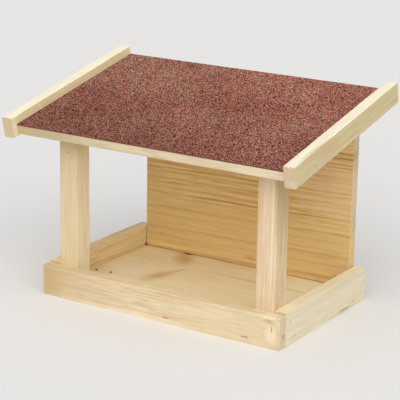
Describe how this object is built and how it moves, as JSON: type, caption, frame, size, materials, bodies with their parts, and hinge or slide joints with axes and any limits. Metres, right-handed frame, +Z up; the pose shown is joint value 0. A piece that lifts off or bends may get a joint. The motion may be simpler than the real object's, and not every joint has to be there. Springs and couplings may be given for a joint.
{
  "type": "wooden bird feeder",
  "caption": "Open softwood bird feeder: seed tray with low rails, square front posts and a back wall under a single-pitch roof with red mineral felt and verge battens.",
  "frame": {"origin": "middle of the tray's underside, which rests on the ground", "axes": "+X to the right along the front rail, +Y towards the back wall, +Z up"},
  "size_m": [0.357, 0.2216, 0.2483],
  "materials": {
    "floor_pine": "planed, untreated",
    "rail_pine": "planed, untreated",
    "wall_pine": "planed, untreated, strong growth rings",
    "post_pine": "planed, untreated",
    "roof_pine": "planed, untreated",
    "batten_pine": "planed, untreated",
    "mineral_felt": "bitumen felt with red mineral granules, rough",
    "staple_steel": "wire with a dull resin coat",
    "nail_steel": "dull steel"
  },
  "bodies": {
    "root": {"floor_board": "floor_pine", "front_rail": "rail_pine", "left_rail": "rail_pine", "right_rail": "rail_pine", "back_wall": "wall_pine", "left_post": "post_pine", "right_post": "post_pine", "roof_board": "roof_pine", "roofing_felt": "mineral_felt", "left_verge_batten": "batten_pine", "right_verge_batten": "batten_pine", "front_rail_staples": "staple_steel", "left_rail_staples": "staple_steel", "right_rail_staples": "staple_steel", "floor_to_post_staples": "staple_steel", "floor_to_wall_staples": "staple_steel", "roof_to_post_staples": "staple_steel", "roof_to_wall_staples": "staple_steel", "left_verge_nails": "nail_steel", "right_verge_nails": "nail_steel"}
  },
  "joints": []
}
